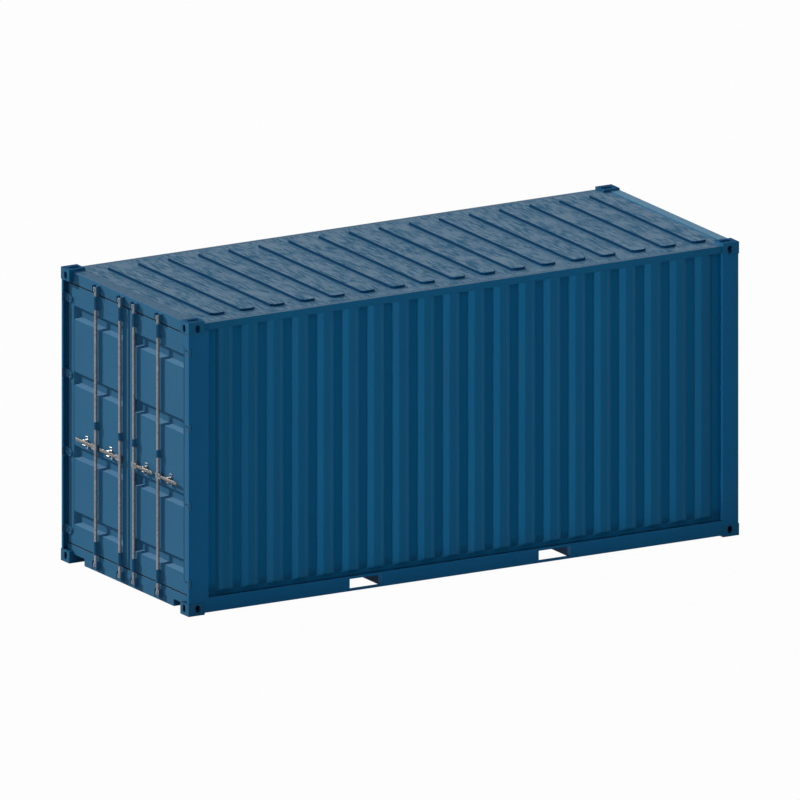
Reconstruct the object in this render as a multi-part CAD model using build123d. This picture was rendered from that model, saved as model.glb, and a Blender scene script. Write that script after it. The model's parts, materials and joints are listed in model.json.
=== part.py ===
from build123d import *
from math import atan2, degrees, pi, tan
import os

# A twenty foot high steel shipping container with a corrugated shell, a roof with raised ribs
# and two hinged doors, each held shut by two turning locking bars.
# Millimetres, +Z up, origin under the middle of the floor plan, doors at the low X end.

os.makedirs("parts", exist_ok=True)

# Overall size
length = 6058.0
width = 2438.0
height = 2896.0

# Corner castings: hollow steel boxes with a slot for a twist lock and two lifting holes
casting_length = 178.0
casting_width = 162.0
casting_height = 118.0
casting_plate = 28.0
casting_side_wall = 15.0
casting_back_wall = 12.0
lock_slot_length = 124.0
lock_slot_width = 63.5
lock_slot_from_end = 101.5
lock_slot_from_side = 89.0
lift_hole_height = 76.0
lift_hole_width = 51.0

# Corner posts
post_inset = 5.0
rear_post_depth = 223.0
rear_post_skin = 6.0
rear_post_lip = 36.0
jamb_start = 60.0
jamb_depth = 113.0
jamb_width = 49.0
front_post_width = 60.0
front_post_wall = 6.0

# Base frame
base_clearance = 17.0
bottom_rail_height = 145.0
bottom_rail_wall = 6.0
bottom_rail_flange = 50.0
bottom_rail_inset = 4.0
sill_top = 175.0
sill_depth = 100.0
sill_wall = 8.0
sill_foot_margin = 205.0
sill_step = 71.0

# Top frame
top_drop = 25.0
top_rail_height = 70.0
top_rail_width = 60.0
top_rail_wall = 4.0
door_header_height = 111.0
header_wall = 6.0
front_header_depth = 108.0
front_header_rise = 8.0
front_frame_inset = 4.0

# Fork pockets
pocket_width = 352.0
pocket_height = 91.0
pocket_sill = 29.0
pocket_spacing = 2080.0
pocket_shift = -38.0
pocket_wall = 5.0

# Corrugated walls and roof
sheet = 2.0
wall_inset = 12.0
ridge_pitch = 277.0
ridge_flat = 72.0
ridge_slope = 68.0
ridge_depth = 36.0
ridge_foot_gap = 30.0
ridge_foot_run = 30.0
rib_pitch = 331.0
rib_width = 165.0
rib_height = 19.0
rib_bevel = 6.0
rib_corner = 32.0
rib_tip_margin = 214.0
rib_front_margin = 128.0
roof_stock = 40.0

# Floor and cross members
floor_thickness = 28.0
floor_edge_gap = 2.0
floor_rows = 5
floor_joint = 3.0
cross_member_pitch = 300.0
cross_member_flange = 45.0
cross_member_wall = 4.0

# Doors
door_recess = 47.0
door_thickness = 50.0
door_edge_gap = 69.0
door_meeting_gap = 9.5
door_top_gap = 13.0
door_stile = 102.0
door_rail = 120.0
seal_clearance = 5.0
seal_meeting = 2.5
seal_start = 60.0
seal_depth = 32.0

# Pressed grooves across each door panel
groove_end_margin = 200.0
groove_mid_spread = 723.0
groove_height = 135.0
groove_depth = 38.0
groove_slope = 31.0
groove_end_slope = 56.0
groove_inset = 8.0

# Hinges
hinge_top_margin = 147.0
hinge_bottom_margin = 128.0
hinge_mid_spread = 770.0
hinge_height = 80.0
hinge_pin_inset = 16.0
hinge_pin_radius = 8.0
hinge_pin_play = 0.3
hinge_barrel_radius = 14.0
hinge_lug_thickness = 14.0
hinge_lug_gap = 2.0
hinge_lug_reach = 20.0
hinge_strap_thickness = 10.0
hinge_strap_length = 128.0
hinge_tip_cut = 28.0
hinge_neck = 9.0
hinge_notch = 35.0

# Locking bars
inner_bar_offset = 132.0
bar_spacing = 461.0
bar_radius = 15.0
bar_axis_depth = 22.0
bar_play = 0.4
bar_top_margin = 40.0
bar_bottom_margin = 54.0
cam_radius = 16.0
cam_reach = 29.0
cam_front_reach = 20.0
cam_thickness = 18.0
cam_height = 40.0
keeper_plate = 6.0
keeper_height = 80.0
keeper_gap = 36.0
keeper_ear = 8.0
keeper_front = 6.0
bracket_wall = 5.6
bracket_plate = 6.0
bracket_foot = 33.0
bracket_corner = 30.0
end_bracket_height = 130.0
end_bracket_margin = 5.0
mid_bracket_height = 74.0

# Handles
handle_drop = 215.0
handle_length = 370.0
handle_height = 28.0
handle_thickness = 12.0
handle_front = 10.0
handle_start = 24.0
hub_radius = 21.0
hub_ear = 12.0
hub_reach = 62.0
hub_front = 7.0
hub_back = 29.0
retainer_offset = 205.0
retainer_width = 44.0
retainer_height = 120.0
retainer_gap = 6.0
retainer_prong = 8.0
retainer_front = 6.0

# Levels and places that follow from the sizes above
end_x = length / 2
side_y = width / 2
base_top = base_clearance + bottom_rail_height
frame_top = height - top_drop
top_rail_base = frame_top - top_rail_height
header_base = frame_top - door_header_height
upper_casting_base = height - casting_height
door_bottom = sill_top + door_top_gap
door_top = header_base - door_top_gap
door_middle = (door_bottom + door_top) / 2
floor_base = sill_top - floor_thickness
pin_x = -end_x + hinge_pin_inset
pin_y = side_y - hinge_pin_inset
bar_x = -end_x + bar_axis_depth
door_x = -end_x + door_recess
door_hinge_y = side_y - door_edge_gap
rail_y = side_y - bottom_rail_inset
rail_inner_y = rail_y - bottom_rail_wall
top_rail_y = side_y - wall_inset
rail_half = end_x - casting_length
front_x = end_x - front_frame_inset
bar_offsets = [inner_bar_offset, inner_bar_offset + bar_spacing]
handle_level = door_middle - handle_drop
hinge_levels = [
    door_top - hinge_top_margin, door_middle + hinge_mid_spread / 2,
    door_middle - hinge_mid_spread / 2, door_bottom + hinge_bottom_margin]


def block(x_low, x_high, y_low, y_high, z_low, z_high):
    size = Box(x_high - x_low, y_high - y_low, z_high - z_low)
    return Pos((x_low + x_high) / 2, (y_low + y_high) / 2, (z_low + z_high) / 2) * size


def flat_face(points):
    return make_face(Polyline(points, close=True))


def upright(points, z_low, z_high):
    face = flat_face([(x, y, z_low) for x, y in points])
    return extrude(face, amount=z_high - z_low, dir=(0, 0, 1))


def along_x(points, x_low, x_high):
    face = flat_face([(x_low, y, z) for y, z in points])
    return extrude(face, amount=x_high - x_low, dir=(1, 0, 0))


def along_y(points, y_low, y_high):
    face = flat_face([(x, y_low, z) for x, z in points])
    return extrude(face, amount=y_high - y_low, dir=(0, 1, 0))


def rod(x, y, z_low, z_high, radius):
    return Pos(x, y, (z_low + z_high) / 2) * Cylinder(radius, z_high - z_low)


def other_side(part):
    return mirror(part, about=Plane.XZ)


def other_end(part):
    return mirror(part, about=Plane.YZ)


def save(name, shapes):
    solids = [solid for shape in shapes for solid in shape.solids()]
    export_step(Compound(children=solids), f"parts/{name}.step")


# Corner castings
def corner_casting():
    x_low, y_low = -end_x, side_y - casting_width
    body = block(x_low, x_low + casting_length, y_low, side_y, upper_casting_base, height)
    hollow_top = height - casting_plate
    hollow_base = upper_casting_base + casting_back_wall
    body -= block(
        x_low + casting_side_wall, x_low + casting_length - casting_back_wall,
        y_low + casting_back_wall, side_y - casting_side_wall, hollow_base, hollow_top)
    slot_x = x_low + lock_slot_from_end
    slot_y = side_y - lock_slot_from_side
    slot = extrude(SlotOverall(lock_slot_length, lock_slot_width), amount=casting_plate)
    body -= Pos(slot_x, slot_y, hollow_top) * slot
    middle = (hollow_base + hollow_top) / 2
    hole = extrude(SlotOverall(lift_hole_height, lift_hole_width, rotation=90), amount=casting_side_wall)
    body -= Pos(slot_x, side_y, middle) * Rot(90, 0, 0) * hole
    body -= Pos(x_low, slot_y, middle) * Rot(0, 0, 90) * Rot(90, 0, 0) * hole
    return body


rear_casting = corner_casting()
upper_castings = [rear_casting, other_side(rear_casting)]
upper_castings += [other_end(casting) for casting in upper_castings]
mid_height = Plane.XY.offset(height / 2)
save("top_corner_castings", upper_castings)
save("bottom_corner_castings", [mirror(casting, about=mid_height) for casting in upper_castings])


# Rear corner posts: a skin with a front lip and a boxed jamb, notched where the hinges sit
def rear_post():
    def at(points):
        return [(-end_x + u, side_y - v) for u, v in points]

    skin = rear_post_skin
    face = post_inset
    back = post_inset + skin
    jamb_end = jamb_start + jamb_depth
    outline = [
        (face, face), (casting_length, face), (casting_length, back), (jamb_end, back),
        (jamb_end, jamb_width), (jamb_start, jamb_width), (jamb_start, back), (back, back),
        (back, rear_post_lip), (face, rear_post_lip)]
    hollow = [
        (jamb_start + skin, back), (jamb_end - skin, back),
        (jamb_end - skin, jamb_width - skin), (jamb_start + skin, jamb_width - skin)]
    sheet_foot = wall_inset + ridge_depth + sheet
    wing = [
        (casting_length, face), (rear_post_depth, face), (rear_post_depth, sheet_foot),
        (rear_post_depth - skin, sheet_foot), (rear_post_depth - skin, back), (casting_length, back)]
    post = upright(at(outline), casting_height, upper_casting_base)
    post -= upright(at(hollow), casting_height, upper_casting_base)
    post += upright(at(wing), base_top, top_rail_base)
    half = hinge_height / 2 + hinge_lug_gap
    for level in hinge_levels:
        post -= block(
            -end_x, -end_x + hinge_notch, side_y - rear_post_lip, side_y, level - half, level + half)
    return post


def front_post():
    x_low, x_high = rail_half, end_x - post_inset
    y_low, y_high = side_y - front_post_width, side_y - post_inset
    wall = front_post_wall
    tube = block(x_low, x_high, y_low, y_high, casting_height, upper_casting_base)
    tube -= block(
        x_low + wall, x_high - wall, y_low + wall, y_high - wall, casting_height, upper_casting_base)
    return tube


save("left_rear_post", [rear_post()])
save("right_rear_post", [other_side(rear_post())])
save("left_front_post", [front_post()])
save("right_front_post", [other_side(front_post())])


# Fixed hinge lugs on the rear posts, each pair joined by its pin
def hinge_lugs(level):
    reach = hinge_lug_reach
    low = level - hinge_height / 2 - hinge_lug_gap
    high = level + hinge_height / 2 + hinge_lug_gap
    x_low = -end_x + post_inset + rear_post_skin
    y_high = side_y - post_inset - rear_post_skin
    lug = rod(pin_x, pin_y, low, high, hinge_pin_radius)
    lug += block(x_low, pin_x + reach, pin_y - reach, y_high, low - hinge_lug_thickness, low)
    lug += block(x_low, pin_x + reach, pin_y - reach, y_high, high, high + hinge_lug_thickness)
    return lug


left_lugs = [hinge_lugs(level) for level in hinge_levels]
save("left_hinge_lugs", left_lugs)
save("right_hinge_lugs", [other_side(lug) for lug in left_lugs])


# Door sill and header between the rear posts
post_gap = side_y - jamb_width
casting_gap = side_y - casting_width
step_z = base_clearance + sill_step
sill_half_foot = casting_gap - sill_foot_margin
sill_half = [
    (post_gap, sill_top), (post_gap, casting_height), (casting_gap, casting_height),
    (casting_gap, step_z), (sill_half_foot, step_z), (sill_half_foot, base_clearance)]
sill_outline = sill_half + [(-y, z) for y, z in reversed(sill_half)]
sill = along_x(sill_outline, door_x, door_x + sill_wall)
sill += block(
    door_x + sill_wall, door_x + sill_depth, -post_gap, post_gap, sill_top - sill_wall, sill_top)
sill += block(
    door_x + sill_wall, door_x + sill_depth, -sill_half_foot, sill_half_foot,
    base_clearance, base_clearance + sill_wall)
save("door_sill", [sill])

header_end = -end_x + casting_length
header_half = [
    (casting_gap, frame_top), (casting_gap, upper_casting_base),
    (post_gap, upper_casting_base), (post_gap, header_base)]
header_outline = header_half + [(-y, z) for y, z in reversed(header_half)]
header = along_x(header_outline, door_x, header_end)
header -= block(
    door_x + header_wall, header_end - header_wall, -post_gap, post_gap,
    header_base + header_wall, frame_top - header_wall)
save("door_header", [header])

# Front sill and header
front_gap = side_y - front_post_width
front_half = [
    (front_gap, base_top), (front_gap, casting_height), (casting_gap, casting_height),
    (casting_gap, base_clearance)]
front_outline = front_half + [(-y, z) for y, z in reversed(front_half)]
front_sill = along_x(front_outline, front_x - sill_wall, front_x)
front_sill += block(
    front_x - sill_depth, front_x - sill_wall, -front_gap, front_gap, base_top - sill_wall, base_top)
front_sill += block(
    front_x - sill_depth, front_x - sill_wall, -casting_gap, casting_gap,
    base_clearance, base_clearance + sill_wall)
save("front_sill", [front_sill])

front_header_x = front_x - front_header_depth
front_header_top = frame_top + front_header_rise
front_header_profile = [
    (front_header_x, upper_casting_base), (front_x, upper_casting_base), (front_x, front_header_top),
    (front_header_x + front_header_rise, front_header_top), (front_header_x, frame_top)]
front_header = along_y(front_header_profile, -casting_gap, casting_gap)
front_header -= block(
    front_header_x + header_wall, front_x - header_wall, -casting_gap, casting_gap,
    upper_casting_base + header_wall, frame_top - header_wall)
save("front_header", [front_header])

# Side rails between the castings
top_rail_inner_y = top_rail_y - top_rail_width
top_rail = block(-rail_half, rail_half, top_rail_inner_y, top_rail_y, top_rail_base, frame_top)
top_rail -= block(
    -rail_half, rail_half, top_rail_inner_y + top_rail_wall, top_rail_y - top_rail_wall,
    top_rail_base + top_rail_wall, frame_top - top_rail_wall)
save("left_top_rail", [top_rail])
save("right_top_rail", [other_side(top_rail)])

pocket_centres = [pocket_shift - pocket_spacing / 2, pocket_shift + pocket_spacing / 2]
pocket_base = base_clearance + pocket_sill
pocket_top = pocket_base + pocket_height
rail_wall = bottom_rail_wall
rail_profile = [
    (rail_y, base_clearance), (rail_y, base_top), (rail_inner_y - bottom_rail_flange, base_top),
    (rail_inner_y - bottom_rail_flange, base_top - rail_wall), (rail_inner_y, base_top - rail_wall),
    (rail_inner_y, base_clearance + rail_wall),
    (rail_inner_y - bottom_rail_flange, base_clearance + rail_wall),
    (rail_inner_y - bottom_rail_flange, base_clearance)]
bottom_rail = along_x(rail_profile, -rail_half, rail_half)
for centre in pocket_centres:
    bottom_rail -= block(
        centre - pocket_width / 2, centre + pocket_width / 2, rail_inner_y, rail_y, pocket_base, pocket_top)
save("left_bottom_rail", [bottom_rail])
save("right_bottom_rail", [other_side(bottom_rail)])


# Fork pockets: open-bottomed tunnels across the base, between the webs of the rails
def fork_pocket(centre):
    inner = pocket_width / 2
    outer = inner + pocket_wall
    low = base_clearance + rail_wall
    high = pocket_top + pocket_wall
    profile = [
        (centre - outer, low), (centre - outer, high), (centre + outer, high), (centre + outer, low),
        (centre + inner, low), (centre + inner, pocket_top), (centre - inner, pocket_top),
        (centre - inner, low)]
    return along_y(profile, -rail_inner_y, rail_inner_y)


save("fork_pockets", [fork_pocket(centre) for centre in pocket_centres])


# Cross members: folded channels that carry the floor, left out where a fork pocket runs
def cross_member(x):
    low = base_clearance + rail_wall
    flange = cross_member_flange
    wall = cross_member_wall
    profile = [
        (x, low), (x, floor_base), (x + flange, floor_base), (x + flange, floor_base - wall),
        (x + wall, floor_base - wall), (x + wall, low + wall), (x + flange, low + wall), (x + flange, low)]
    return along_y(profile, -rail_inner_y, rail_inner_y)


def clear_of_pockets(x):
    reach = pocket_width / 2 + pocket_wall + cross_member_flange
    return all(abs(x + cross_member_flange / 2 - centre) > reach for centre in pocket_centres)


member_count = int(2 * rail_half // cross_member_pitch)
member_start = -cross_member_pitch * (member_count - 1) / 2 - cross_member_flange / 2
member_places = [member_start + cross_member_pitch * index for index in range(member_count)]
save("cross_members", [cross_member(x) for x in member_places if clear_of_pockets(x)])

# Floor: sheets of plywood in two columns
floor_half_width = rail_inner_y - bottom_rail_flange - floor_edge_gap
floor_low = door_x + sill_depth + floor_joint
floor_high = front_x - sill_depth - floor_joint
floor_step = (floor_high - floor_low + floor_joint) / floor_rows
boards = []
for row in range(floor_rows):
    start = floor_low + floor_step * row
    boards.append(block(
        start, start + floor_step - floor_joint, floor_joint / 2, floor_half_width, floor_base, sill_top))
save("floor", boards + [other_side(board) for board in boards])


# Corrugated sheet: a thick pressed form less the same form moved in by the sheet's thickness
def ridge_line(low, high, outer, inner):
    count = int((high - low) // ridge_pitch)
    half = ridge_flat / 2
    foot = half + ridge_slope
    points = []
    for index in range(count):
        centre = (low + high) / 2 + (index - (count - 1) / 2) * ridge_pitch
        points += [
            (centre - foot, inner), (centre - half, outer), (centre + half, outer), (centre + foot, inner)]
    return points


def side_wall():
    x_low = -end_x + rear_post_depth
    x_high = rail_half
    outer = side_y - wall_inset
    inner = outer - ridge_depth
    back = inner - ridge_depth
    line = ridge_line(x_low, x_high, outer, inner)
    outline = [(x_low, back), (x_low, inner)] + line + [(x_high, inner), (x_high, back)]
    form = upright(outline, base_top, top_rail_base)
    foot = base_top + ridge_foot_gap
    form -= along_x(
        [(inner, base_top), (inner, foot), (side_y, foot + ridge_foot_run * (side_y - inner) / ridge_depth),
         (side_y, base_top)],
        x_low, x_high)
    return form - Pos(0, -sheet, 0) * form


save("left_side_wall", [side_wall()])
save("right_side_wall", [other_side(side_wall())])


def front_wall():
    outer = end_x - wall_inset
    inner = outer - ridge_depth
    back = inner - ridge_depth
    line = ridge_line(-front_gap, front_gap, outer, inner)
    outline = [(back, -front_gap), (inner, -front_gap)]
    outline += [(x, y) for y, x in line]
    outline += [(inner, front_gap), (back, front_gap)]
    form = upright(outline, base_top, upper_casting_base)
    return form - Pos(-sheet, 0, 0) * form


save("front_wall", [front_wall()])


# Roof: one sheet flush with the rails and the door header, pressed up into ribs with cut corners
def roof_rib(x):
    half_width = rib_width / 2
    half_tip = half_width - rib_corner
    tip = side_y - rib_tip_margin
    shoulder = tip - rib_corner
    half = [(half_width, shoulder), (half_tip, tip), (-half_tip, tip), (-half_width, shoulder)]
    points = half + [(-a, -b) for a, b in half]
    plan = flat_face([(x + a, b, frame_top) for a, b in points])
    return extrude(plan, amount=rib_height, dir=(0, 0, 1), taper=degrees(atan2(rib_bevel, rib_height)))


def roof_panel():
    stock_base = frame_top - roof_stock
    form = block(-rail_half, rail_half, -top_rail_inner_y, top_rail_inner_y, stock_base, frame_top)
    form += block(rail_half, front_header_x, -casting_gap, casting_gap, stock_base, frame_top)
    first_rib_x = rail_half - rib_front_margin
    rib_count = int((first_rib_x + rail_half - rib_width / 2) // rib_pitch) + 1
    for index in range(rib_count):
        form += roof_rib(first_rib_x - index * rib_pitch)
    return form - Pos(0, 0, -sheet) * form


save("roof_panel", [roof_panel()])


# Left door: frame, pressed panel and rubber seal
door_low_y = door_meeting_gap
panel_low_y = door_low_y + door_stile
panel_high_y = door_hinge_y - door_stile
panel_low_z = door_bottom + door_rail
panel_high_z = door_top - door_rail
groove_centres = [
    door_top - groove_end_margin - groove_height / 2, door_middle + groove_mid_spread / 2,
    door_middle - groove_mid_spread / 2, door_bottom + groove_end_margin + groove_height / 2]


def door_frame():
    frame = block(door_x, door_x + door_thickness, door_low_y, door_hinge_y, door_bottom, door_top)
    frame -= block(
        door_x, door_x + door_thickness, panel_low_y, panel_high_y, panel_low_z, panel_high_z)
    return frame


def groove_form(centre, face_x):
    low_y, high_y = panel_low_y + groove_inset, panel_high_y - groove_inset
    top = centre + groove_height / 2
    bottom = centre - groove_height / 2
    bed_x = face_x + groove_depth
    trough = along_y(
        [(face_x, bottom), (face_x, top), (bed_x, top - groove_slope), (bed_x, bottom + groove_slope)],
        low_y, high_y)
    between_ends = upright(
        [(face_x, low_y), (face_x, high_y), (bed_x, high_y - groove_end_slope),
         (bed_x, low_y + groove_end_slope)],
        bottom, top)
    return trough & between_ends


def door_panel():
    panel = block(door_x, door_x + sheet, panel_low_y, panel_high_y, panel_low_z, panel_high_z)
    for centre in groove_centres:
        panel += groove_form(centre, door_x + sheet)
    for centre in groove_centres:
        panel -= groove_form(centre, door_x)
    return panel


def door_seal():
    x_low = -end_x + seal_start
    x_high = x_low + seal_depth
    seal = block(
        x_low, x_high, door_low_y - seal_meeting, post_gap - seal_clearance,
        sill_top + seal_clearance, header_base - seal_clearance)
    seal -= block(x_low, x_high, door_low_y, door_hinge_y, door_bottom, door_top)
    return seal


# Hinge blades: a strap on the door's face, a neck and a barrel on the pin
def hinge_blade(level):
    low, high = level - hinge_height / 2, level + hinge_height / 2
    blade = rod(pin_x, pin_y, low, high, hinge_barrel_radius)
    blade += block(pin_x, door_x, pin_y - hinge_neck / 2, pin_y + hinge_neck / 2, low, high)
    heel_y = pin_y + hinge_neck / 2
    tip_y = pin_y - hinge_strap_length
    strap = [
        (heel_y, low), (heel_y, high), (tip_y + hinge_tip_cut, high), (tip_y, high - hinge_tip_cut),
        (tip_y, low + hinge_tip_cut), (tip_y + hinge_tip_cut, low)]
    blade += along_x(strap, door_x - hinge_strap_thickness, door_x)
    return blade - rod(pin_x, pin_y, low, high, hinge_pin_radius + hinge_pin_play)


# An eight-sided prism on a bar's axis
def collar(y, low, high, radius):
    flat = radius * tan(pi / 8)
    corners = [(radius, flat), (flat, radius), (-flat, radius), (-radius, flat)]
    corners += [(-a, -b) for a, b in corners]
    return upright([(bar_x + a, y + b) for a, b in corners], low, high)


# Bar brackets: a strap folded over the bar on a foot plate with cut corners
def bar_bracket(y, low, high):
    outer = bar_radius + bar_play + bracket_wall
    bracket = collar(y, low, high, outer)
    bracket += block(bar_x, door_x, y - outer, y + outer, low, high)
    foot = outer + bracket_foot
    shoulder = foot - bracket_corner
    plate = [
        (y - foot, low + bracket_corner), (y - foot, high - bracket_corner), (y - shoulder, high),
        (y + shoulder, high), (y + foot, high - bracket_corner), (y + foot, low + bracket_corner),
        (y + shoulder, low), (y - shoulder, low)]
    bracket += along_x(plate, door_x - bracket_plate, door_x)
    return bracket - collar(y, low, high, bar_radius + bar_play)


def bar_brackets():
    brackets = []
    for y in bar_offsets:
        brackets.append(bar_bracket(
            y, door_bottom + end_bracket_margin, door_bottom + end_bracket_margin + end_bracket_height))
        brackets.append(bar_bracket(
            y, door_middle - mid_bracket_height / 2, door_middle + mid_bracket_height / 2))
        brackets.append(bar_bracket(
            y, door_top - end_bracket_margin - end_bracket_height, door_top - end_bracket_margin))
    return brackets


# Handle retainers: a plate with a prong above and a prong below the handle
def handle_retainer(bar_y):
    y_low = bar_y + retainer_offset - retainer_width / 2
    y_high = y_low + retainer_width
    half = retainer_height / 2
    front_x = -end_x + retainer_front
    near = handle_height / 2 + retainer_gap
    far = near + retainer_prong
    retainer = block(
        door_x - bracket_plate, door_x, y_low, y_high, handle_level - half, handle_level + half)
    retainer += block(front_x, door_x, y_low, y_high, handle_level + near, handle_level + far)
    retainer += block(front_x, door_x, y_low, y_high, handle_level - far, handle_level - near)
    return retainer


# Locking bars: a rod with a cam at each end and a hub for the handle, each on an eight-sided collar
bar_low = base_clearance + bar_bottom_margin
bar_high = frame_top - bar_top_margin


def bar_cam(y, low):
    cam = collar(y, low, low + cam_height, cam_radius)
    half = cam_thickness / 2
    cam += block(bar_x - half, bar_x + half, y, y + cam_reach, low, low + cam_height)
    cam += block(bar_x - cam_front_reach, bar_x, y - half, y + half, low, low + cam_height)
    return cam


def locking_bar(y):
    bar = rod(bar_x, y, bar_low, bar_high, bar_radius)
    bar += bar_cam(y, bar_low)
    bar += bar_cam(y, bar_high - cam_height)
    half = handle_height / 2
    bar += collar(y, handle_level - half - hub_ear, handle_level + half + hub_ear, hub_radius)
    ear_low = -end_x + hub_front
    ear_high = -end_x + hub_back
    bar += block(ear_low, ear_high, y, y + hub_reach, handle_level + half, handle_level + half + hub_ear)
    bar += block(ear_low, ear_high, y, y + hub_reach, handle_level - half - hub_ear, handle_level - half)
    return bar


def bar_handle(y):
    x_low = -end_x + handle_front
    radius = handle_height / 2
    straight = handle_length - radius
    handle = block(
        x_low, x_low + handle_thickness, y + handle_start, y + straight,
        handle_level - radius, handle_level + radius)
    tip = Pos(x_low + handle_thickness / 2, y + straight, handle_level) * Rot(0, 90, 0)
    return handle + tip * Cylinder(radius, handle_thickness)


left_nodes = {
    "door_frame": [door_frame()],
    "door_panel": [door_panel()],
    "door_seal": [door_seal()],
    "hinge_blades": [hinge_blade(level) for level in hinge_levels],
    "bar_brackets": bar_brackets(),
    "handle_retainers": [handle_retainer(y) for y in bar_offsets],
    "inner_bar": [locking_bar(bar_offsets[0])],
    "outer_bar": [locking_bar(bar_offsets[1])],
    "inner_handle": [bar_handle(bar_offsets[0])],
    "outer_handle": [bar_handle(bar_offsets[1])],
}
for name, shapes in left_nodes.items():
    save("left_" + name, shapes)
    save("right_" + name, [other_side(shape) for shape in shapes])


# Keepers: open-fronted cam seats on the header and the sill
def cam_keeper(y, low):
    x_low = -end_x + keeper_front
    keeper = block(
        door_x - keeper_plate, door_x, y - keeper_gap - keeper_ear, y + keeper_gap + keeper_ear,
        low, low + keeper_height)
    for edge in (y - keeper_gap - keeper_ear, y + keeper_gap):
        keeper += block(x_low, door_x, edge, edge + keeper_ear, low, low + keeper_height)
    return keeper


keeper_margin = (keeper_height - cam_height) / 2
top_keepers = [cam_keeper(y, bar_high - cam_height - keeper_margin) for y in bar_offsets]
bottom_keepers = [cam_keeper(y, bar_low - keeper_margin) for y in bar_offsets]
save("top_keepers", top_keepers + [other_side(keeper) for keeper in top_keepers])
save("bottom_keepers", bottom_keepers + [other_side(keeper) for keeper in bottom_keepers])
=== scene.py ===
import bmesh
import bpy
import json
import math
from mathutils import Matrix, Vector


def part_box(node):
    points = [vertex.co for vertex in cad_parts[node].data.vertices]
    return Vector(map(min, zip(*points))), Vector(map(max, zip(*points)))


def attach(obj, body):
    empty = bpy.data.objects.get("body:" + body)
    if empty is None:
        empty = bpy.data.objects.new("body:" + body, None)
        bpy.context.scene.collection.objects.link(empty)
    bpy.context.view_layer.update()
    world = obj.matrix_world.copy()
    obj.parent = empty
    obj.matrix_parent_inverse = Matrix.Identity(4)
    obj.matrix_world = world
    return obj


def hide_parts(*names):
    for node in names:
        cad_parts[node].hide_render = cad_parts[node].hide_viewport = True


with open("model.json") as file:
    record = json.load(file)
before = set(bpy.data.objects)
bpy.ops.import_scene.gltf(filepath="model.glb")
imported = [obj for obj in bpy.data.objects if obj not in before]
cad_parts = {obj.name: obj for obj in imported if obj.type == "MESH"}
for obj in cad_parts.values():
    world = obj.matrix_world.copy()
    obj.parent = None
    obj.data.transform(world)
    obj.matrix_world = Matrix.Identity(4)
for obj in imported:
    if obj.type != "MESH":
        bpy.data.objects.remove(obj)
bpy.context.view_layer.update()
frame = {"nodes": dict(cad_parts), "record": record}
nodes = frame["nodes"]
bodies = frame["record"]["behaviour"]["bodies"]
bodyOf = {node: body for body, members in bodies.items() for node in members}
sides = {"left": 1, "right": -1}  # the sign of Y on each side
mm = 0.001
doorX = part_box("left_door_frame")[0][0]  # the doors' outer face
print("frame loaded:", len(nodes), "nodes")


# One node with its settings and links: a node or a socket is linked, anything else is set as a value.
def addNode(tree, kind, inputs=None, **settings):
    node = tree.nodes.new(kind)
    for name, value in settings.items():
        setattr(node, name, value)
    pairs = enumerate(inputs) if isinstance(inputs, list) else (inputs or {}).items()
    for socket, value in pairs:
        if isinstance(value, bpy.types.Node):
            value = value.outputs[0]
        if isinstance(value, bpy.types.NodeSocket):
            tree.links.new(value, node.inputs[socket])
        else:
            node.inputs[socket].default_value = value
    return node


# sRGB hex text to linear light
def linear(hexText):
    channels = [int(hexText[i:i + 2], 16) / 255 for i in (1, 3, 5)]
    return [c / 12.92 if c <= 0.04045 else ((c + 0.055) / 1.055) ** 2.4 for c in channels] + [1.0]


# how often a pattern of a real size repeats in a metre
def perMetre(sizeMm):
    return 1.0 / (sizeMm * mm)


# what is the same all over a surface sits on the shader's own sockets
def startMaterial(name, **constants):
    material = bpy.data.materials.new(name)
    material.use_nodes = True
    shader = material.node_tree.nodes["Principled BSDF"]
    for socket, value in constants.items():
        shader.inputs[socket.replace("_", " ")].default_value = value
    return material, material.node_tree, shader


# Sprayed alkyd enamel on steel: a satin, even blue with soft fading, a little grime drawn out by rain
# and the faint pebbling that spray leaves, which is drawn coarser than life so that it shows.
enamel = {
    "colour": "#135B88", "faded": "#17628D", "blotchMm": 700, "blotchDetail": 3,
    "gloss": 0.05, "roughness": 0.42,
    "grime": "#3F464E", "grimeMm": (45, 45, 900), "grimeDetail": 5, "grimeGrain": 0.62,
    "grimeFrom": 0.5, "grimeTo": 0.8, "grimeMost": 0.25, "grimeRoughness": 0.7,
    "patchMm": 500, "patchDetail": 4, "patchFrom": 0.4, "patchTo": 0.65,
    "hollowFrom": 0.85,  # share of the full depth from which a hollow takes the lighter colour
    "levelFrom": 0.8, "levelTo": 0.97,  # how far a face looks up before it counts as level
    "levelToneFrom": 0.4, "levelToneTo": 0.65, "levelRoughness": 0.42, "steepRoughness": 1.0,
    "pebbleMm": 14, "pebbleDetail": 2, "pebbleDepth": 0.1, "pebble": 0.08}


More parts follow.
